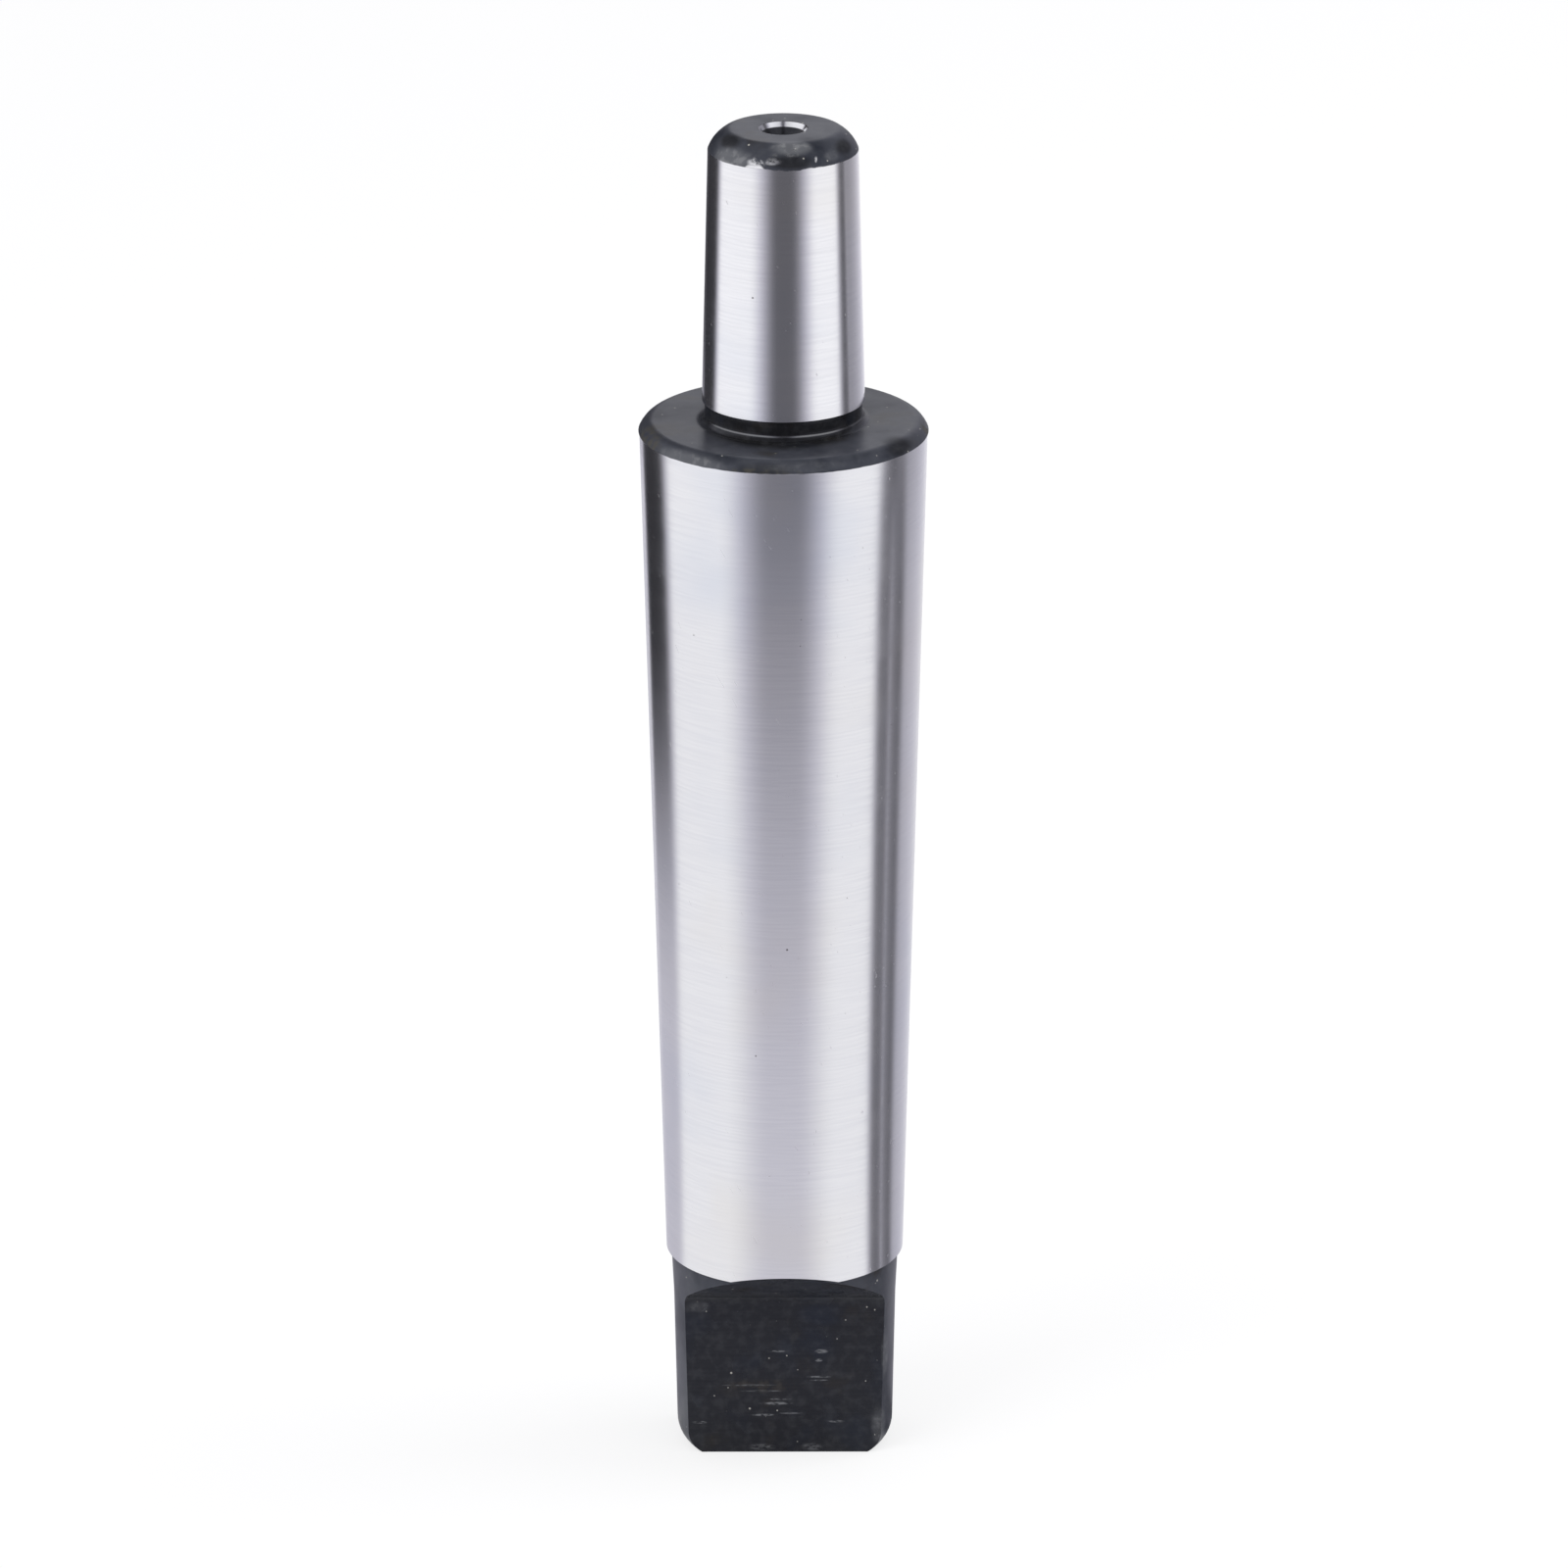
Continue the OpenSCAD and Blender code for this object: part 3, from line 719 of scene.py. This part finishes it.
def ground_share(tree, place, s, edge):
    """How bright the ground faces are: the tapers up to their edge, the centre holes where centres ran."""
    top_z = heights(s)[-1]
    z = add(tree, SPLIT, (place,)).outputs["Z"]
    in_hole = in_centre_hole(tree, place, s)
    off_middle = distance(tree, z, top_z / 2)
    ran = add(tree, RANGE, (
        off_middle, top_z / 2 - 1.2 * s.centre_polish, top_z / 2 - s.centre_polish), **SOFT)
    polished = add(tree, MATH, (in_hole, ran), operation="MULTIPLY")
    out_of_hole = add(tree, MATH, (1.0, in_hole), operation="SUBTRACT")
    outside = add(tree, MATH, (edge, out_of_hole), operation="MULTIPLY")
    return add(tree, MATH, (outside, polished), operation="MAXIMUM")


def milled_oxide(tree, place, s):
    """How grey, how smooth and how rough the flats are: blackest low down, smooth on the run-outs."""
    z = add(tree, SPLIT, (place,)).outputs["Z"]
    grey = add(tree, RANGE, (z, s.flat_len - 0.5 * MM, s.flat_len + 1.5 * MM, 0.0, 0.6), **SOFT)
    smooth = add(tree, MATH, (z, s.flat_len), operation="GREATER_THAN")
    rough = add(tree, MATH, (smooth, RUNOUT_ROUGH - FLAT_ROUGH, FLAT_ROUGH), operation="MULTIPLY_ADD")
    return grey, smooth, rough


def turned_oxide(tree, place, s):
    """How grey, smooth and rough the turned oxide is, its painted shade and highlight line, and its bare
    places.
    """
    face_z = heights(s)[1]
    x, y, z = add(tree, SPLIT, (place,)).outputs
    by_neck = add(tree, MATH, (z, s.shank_gauge_z + NECK_REACH, NECK_REACH), operation="COMPARE")
    # Painted shade: the undercut is painted dark where shade falls under the nose, narrower towards the sides
    neck_r = s.nose_gauge_d / 2 + s.neck_fillet
    wide_x = add(tree, MATH, (x, NECK_SHADE_SQUEEZE), operation="MULTIPLY")
    painted_shade_ring = add(tree, RANGE, (from_axis(tree, wide_x, y), neck_r + NECK_SHADE_OUT, neck_r - NECK_SHADE_IN), **SOFT)
    neck_painted_shade = add(tree, MATH, (painted_shade_ring, by_neck), operation="MULTIPLY")
    in_bore = in_centre_hole(tree, place, s)
    matt = spots(tree, place, MATT)
    # Painted shade: the undercut and the centre bores take the flats' darker oxide, and so do the darker,
    # rougher spots
    recess_painted_shade = add(tree, MATH, (neck_painted_shade, in_bore), operation="MAXIMUM")
    black = add(tree, MATH, (recess_painted_shade, matt), operation="MAXIMUM")
    grey = add(tree, MATH, (1.0, black), operation="SUBTRACT")
    # The undercut and the bore are smooth, and the rest is duller than the flats
    above = add(tree, MATH, (z, face_z + s.edge_break), operation="GREATER_THAN")
    smooth_neck = add(tree, MATH, (neck_painted_shade, above), operation="MULTIPLY")
    smooth = add(tree, MATH, (in_bore, smooth_neck), operation="MAXIMUM")
    plain_rough = add(tree, MATH, (smooth, NECK_ROUGH - TURNED_ROUGH, TURNED_ROUGH), operation="MULTIPLY_ADD")
    rough = add(tree, MATH, (matt, 0.2, plain_rough), operation="MULTIPLY_ADD")
    # Painted highlight: a thin bright line of steel round the fillet stands for the light it catches
    off_highlight = distance(tree, z, face_z + HIGHLIGHT_SHARE * s.neck_fillet)
    thin = add(tree, RANGE, (off_highlight, HIGHLIGHT_FADE, HIGHLIGHT_CORE, 0.0, HIGHLIGHT_STRENGTH), **SOFT)
    line = add(tree, MATH, (thin, by_neck), operation="MULTIPLY")
    bare = ragged_spots(tree, place, BARE, noise(tree, place, 1400.0, 5.0), 0.42, 0.6)
    return grey, smooth, rough, line, bare


def finish_material(name, finish, s, milled, ground):
    """A material that is ground steel or black oxide, each worn or ragged where the other shows."""
    material = bpy.data.materials.new(name)
    material.use_nodes = True
    tree = material.node_tree
    tree.nodes.clear()
    place = add(tree, "ShaderNodeTexCoord").outputs["Object"]
    # The undercut is oxide and lies under the nose, so a ground face changes taper lower than an oxide one
    switch = heights(s)[1] + (s.neck_len if ground else s.nose_len) / 2
    edge = add(tree, RANGE, (past_taper(tree, place, s, switch), RAG_FADE, -RAG_FADE), **SOFT)
    if ground:
        bright = ground_share(tree, place, s, edge)
    else:
        z = add(tree, SPLIT, (place,)).outputs["Z"]
        upper = add(tree, MATH, (z, UPPER_END), operation="GREATER_THAN")
        bright = add(tree, MATH, (edge, upper), operation="MULTIPLY")
    if milled:
        grey, smooth, rough = milled_oxide(tree, place, s)
    else:
        grey, smooth, rough, line, bare = turned_oxide(tree, place, s)
        # The painted highlight round the fillet and the bare places show as ground steel
        for share in (line, bare):
            bright = add(tree, MATH, (bright, share), operation="MAXIMUM")
    # The flats' oxide colour also stands for the painted shade in the undercut and the bores
    main = layered(tree, finish.oxide, (grey, finish.oxide_turned))
    dark = oxide_surface(tree, place, finish, main, rough, smooth)
    mixed = add(tree, "ShaderNodeMixShader", (bright, dark, steel_surface(tree, place, finish)))
    add(tree, "ShaderNodeOutputMaterial", (mixed,))
    return material


class ARBOR_OT_body(bpy.types.Operator):
    """Make the one-piece arbor: turned, milled, ground and blackened"""

    bl_idname = "arbor.body"
    bl_label = "Arbor"

    def execute(self, context):
        s = context.scene.arbor_sizes
        finish = context.scene.arbor_finish
        tree = turning_tree()
        step_r = s.shank_gauge_d / 2 - s.shank_rate / 2 * (s.shank_gauge_z - s.tang_len)
        inputs = {
            "Columns in a quarter": s.flat_columns + s.arc_columns,
            "Columns on an arc": s.arc_columns,
            "Step radius": step_r,
            "Step half thickness": half_thickness(s, s.tang_len),
            "Run-out slope": 1 / math.tan(s.runout_angle),
            "Shank slope": s.shank_rate / 2,
            "Ground finish": finish_material("ground_steel", finish, s, milled=False, ground=True),
            "Milled finish": finish_material("milled_oxide", finish, s, milled=True, ground=False),
            "Oxide finish": finish_material("turned_oxide", finish, s, milled=False, ground=False),
        }
        blank = bpy.data.objects.new("arbor_blank", ring_mesh(s))
        context.scene.collection.objects.link(blank)
        nodes = blank.modifiers.new("Turn and mill", "NODES")
        nodes.node_group = tree
        for socket in tree.interface.items_tree:
            if socket.in_out == "INPUT" and socket.name in inputs:
                nodes[socket.identifier] = inputs[socket.name]
        breaks = blank.modifiers.new("Edge break", "BEVEL")
        breaks.width = s.edge_break
        breaks.segments = BREAK_FACES
        breaks.limit_method = "ANGLE"
        breaks.angle_limit = BREAK_ANGLE
        breaks.use_clamp_overlap = False
        breaks.harden_normals = True
        graph = context.evaluated_depsgraph_get()
        mesh = bpy.data.meshes.new_from_object(
            blank.evaluated_get(graph), preserve_all_data_layers=True, depsgraph=graph)
        bpy.data.objects.remove(blank)
        if not mesh.polygons:
            raise RuntimeError("the arbor came out empty")
        mesh.name = "drill_chuck_arbor"
        body = bpy.data.objects.new("drill_chuck_arbor", mesh)
        context.scene.collection.objects.link(body)
        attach(body, "root")
        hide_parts("arbor")
        return {"FINISHED"}


def flat_card(name, corners, material):
    """A flat stage sheet with the given corners."""
    mesh = bpy.data.meshes.new(name)
    mesh.from_pydata(corners, [], [tuple(range(len(corners)))])
    card = bpy.data.objects.new(name, mesh)
    card.data.materials.append(material)
    bpy.context.scene.collection.objects.link(card)
    return card


# How the stage darkens in the arbor's reflections, as angles round it from the camera and as distances.
# Each shade has where it starts and ends, its two soft edges, how far it turns to the right beyond TURN_TO,
# between which distances its darkness changes, and how dark it is before and after them.
SHADES = (
    (-55.0, 48.0, 43.0, 39.0, 3.5, 0.06, 0.41, 0.26, 0.87),
    (-153.0, -101.0, 6.0, 15.0, -2.5, 0.13, 0.27, 0.34, 0.96),
    (-177.0, -146.0, 10.0, 6.0, 0.0, 0.33, 0.45, 0.25, 0.92),
    (77.0, 101.0, 10.0, 5.0, 6.0, 0.34, 0.42, 0.82, 0.70),
    (97.0, 122.0, 5.0, 12.0, -6.0, 0.34, 0.42, 0.76, 0.6),
    (102.0, 190.0, 12.0, 80.0, 0.0, 0.28, 0.38, 0.48, 0.66),
)


def shaded(tree, x, y, away):
    """The share of light that the shades leave at a place on the floor or in a direction of the sky."""
    towards = add(tree, MATH, (y, -1.0), operation="MULTIPLY")
    around = add(tree, MATH, (x, towards), operation="ARCTAN2")
    beyond = add(tree, RANGE, (away, TURN_FROM, TURN_TO), **SOFT)
    left = 1.0
    for start, end, soft_start, soft_end, turn, near, far, dark_near, dark_far in SHADES:
        here = add(tree, MATH, (beyond, -math.radians(turn), around), operation="MULTIPLY_ADD")
        rise = add(tree, RANGE, (here, math.radians(start), math.radians(start + soft_start)), **SOFT)
        fall = add(tree, RANGE, (here, math.radians(end), math.radians(end - soft_end)), **SOFT)
        dark = add(tree, RANGE, (away, near, far, dark_near, dark_far), **SOFT)
        within = add(tree, MATH, (rise, fall), operation="MULTIPLY")
        cover = add(tree, MATH, (within, dark), operation="MULTIPLY")
        clear = add(tree, MATH, (1.0, cover), operation="SUBTRACT")
        left = add(tree, MATH, (clear, left), operation="MULTIPLY")
    return left


def shade_colour(tree, stage, left):
    """The shades look faintly violet."""
    return layered(tree, stage.sky, (add(tree, RANGE, (left, 1.0, 0.6), **SOFT), stage.shade))


def floor_material(stage):
    """Matt white board. The camera sees it near white, with a shadow. The steel mirrors the shades on it."""
    material = bpy.data.materials.new("white_board")
    material.use_nodes = True
    tree = material.node_tree
    tree.nodes.clear()
    path = add(tree, "ShaderNodeLightPath").outputs
    place = add(tree, "ShaderNodeTexCoord").outputs["Object"]
    x, y, _ = add(tree, SPLIT, (place,)).outputs
    away = from_axis(tree, x, y)
    left = shaded(tree, x, y, away)
    board = add(tree, "ShaderNodeBsdfDiffuse", {"Color": stage.floor})
    glow = add(tree, "ShaderNodeEmission", {"Strength": 1.0})
    share = add(tree, MATH, (path["Is Camera Ray"], 0.72), operation="MULTIPLY")
    seen = add(tree, "ShaderNodeMixShader", (share, board, glow))
    # The board is in shadow close to the arbor, looks brighter far from it, and darkens towards the horizon
    far = add(tree, MATH, (
        add(tree, RANGE, (away, 0.25, 0.5, 0.975, 1.12), **SOFT),
        add(tree, RANGE, (away, 0.8, 1.3, 1.0, 0.35), **SOFT)), operation="MULTIPLY")
    foot = add(tree, RANGE, (away, 0.009, 0.026, 0.65), **SOFT)
    reach = add(tree, MATH, (far, foot), operation="MULTIPLY")
    mirrored = add(tree, "ShaderNodeEmission", {
        "Color": shade_colour(tree, stage, left),
        "Strength": add(tree, MATH, (left, reach), operation="MULTIPLY")})
    mixed = add(tree, "ShaderNodeMixShader", (path["Is Glossy Ray"], seen, mirrored))
    add(tree, "ShaderNodeOutputMaterial", (mixed,))
    return material


def sky_world(stage):
    """White all round. In reflections it has the same shades as the floor, and it is dark overhead."""
    world = bpy.data.worlds.new("soft_sky")
    world.use_nodes = True
    tree = world.node_tree
    tree.nodes.clear()
    path = add(tree, "ShaderNodeLightPath").outputs
    direction = add(tree, "ShaderNodeTexCoord").outputs["Generated"]
    x, y, z = add(tree, SPLIT, (direction,)).outputs
    # The shades narrow upwards, and most light comes from 15 to 35 degrees above the board
    narrowing = add(tree, MATH, (z, 3.0, 1.0), operation="MULTIPLY_ADD")
    narrowed = add(tree, MATH, (x, narrowing), operation="MULTIPLY")
    left = shaded(tree, narrowed, y, SKY_AWAY)
    height = add(tree, MATH, (
        add(tree, RANGE, (z, 0.05, 0.28, 0.6), **SOFT),
        add(tree, RANGE, (z, 0.6, 0.85, 1.0, 0.25), **SOFT)), operation="MULTIPLY")
    plain = add(tree, "ShaderNodeBackground", {"Color": stage.sky, "Strength": 0.8})
    mirrored = add(tree, "ShaderNodeBackground", {
        "Color": shade_colour(tree, stage, left),
        "Strength": add(tree, MATH, (left, height), operation="MULTIPLY")})
    white = add(tree, "ShaderNodeBackground", {"Color": (1.0, 1.0, 1.0, 1.0), "Strength": 1.0})
    lit = add(tree, "ShaderNodeMixShader", (path["Is Glossy Ray"], plain, mirrored))
    mixed = add(tree, "ShaderNodeMixShader", (path["Is Camera Ray"], lit, white))
    add(tree, "ShaderNodeOutputWorld", (mixed,))
    return world


def soft_box(name, place, aim):
    """A square soft lamp that points at the arbor's middle."""
    lamp = bpy.data.lights.new(name, "AREA")
    lamp.shape = "RECTANGLE"
    lamp.size = BOX_SIDE
    lamp.size_y = BOX_SIDE
    lamp.energy = BOX_POWER
    box = bpy.data.objects.new(name, lamp)
    box.location = place
    box.rotation_euler = (aim - Vector(place)).to_track_quat("-Z", "Y").to_euler()
    box.visible_glossy = False
    bpy.context.scene.collection.objects.link(box)


class ARBOR_OT_stage(bpy.types.Operator):
    """Make the floor, the sky, the lamps and the camera"""

    bl_idname = "arbor.stage"
    bl_label = "Stage"

    def execute(self, context):
        scene = context.scene
        stage = scene.arbor_stage
        corners = [(x * FLOOR_REACH, y * FLOOR_REACH, 0.0) for x, y in ((-1, -1), (1, -1), (1, 1), (-1, 1))]
        flat_card("floor", corners, floor_material(stage))
        scene.world = sky_world(stage)
        middle = Vector((0.0, 0.0, stage.camera_aim))
        soft_box("left_box", (-0.6, -0.5, 0.9), middle)
        soft_box("right_box", (0.7, 0.1, 0.9), middle)
        camera = bpy.data.cameras.new("camera")
        camera.lens = stage.camera_lens
        camera.sensor_width = SENSOR
        camera.clip_start = CLIP_START
        viewer = bpy.data.objects.new("camera", camera)
        rise = stage.camera_rise
        back = Vector((0.0, -math.cos(rise), math.sin(rise)))
        viewer.location = middle + back * stage.camera_distance
        pitch = math.pi / 2 - rise - stage.camera_dip
        viewer.matrix_world = (Matrix.Translation(viewer.location) @ Matrix.Rotation(pitch, 4, "X")
                               @ Matrix.Rotation(stage.camera_roll, 4, "Z"))
        scene.collection.objects.link(viewer)
        scene.camera = viewer
        scene.view_settings.view_transform = "Standard"
        return {"FINISHED"}


class ARBOR_PT_panel(bpy.types.Panel):
    """Lists the arbor's operators"""

    bl_idname = "ARBOR_PT_panel"
    bl_label = "Drill Chuck Arbor"
    bl_space_type = "VIEW_3D"
    bl_region_type = "UI"
    bl_category = "Arbor"

    def draw(self, context):
        for operator in OPERATORS:
            self.layout.operator(operator.bl_idname)


OPERATORS = (ARBOR_OT_body, ARBOR_OT_stage)
GROUPS = {"arbor_sizes": ArborSizes, "arbor_finish": ArborFinish, "arbor_stage": ArborStage}


def register():
    for kind in (*GROUPS.values(), *OPERATORS, ARBOR_PT_panel):
        bpy.utils.register_class(kind)
    for name, group in GROUPS.items():
        setattr(bpy.types.Scene, name, bpy.props.PointerProperty(type=group))


def unregister():
    for name in GROUPS:
        delattr(bpy.types.Scene, name)
    for kind in (ARBOR_PT_panel, *OPERATORS, *GROUPS.values()):
        bpy.utils.unregister_class(kind)


def main():
    register()
    bpy.ops.arbor.body()
    bpy.ops.arbor.stage()
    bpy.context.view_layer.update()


if __name__ == "__main__":
    main()
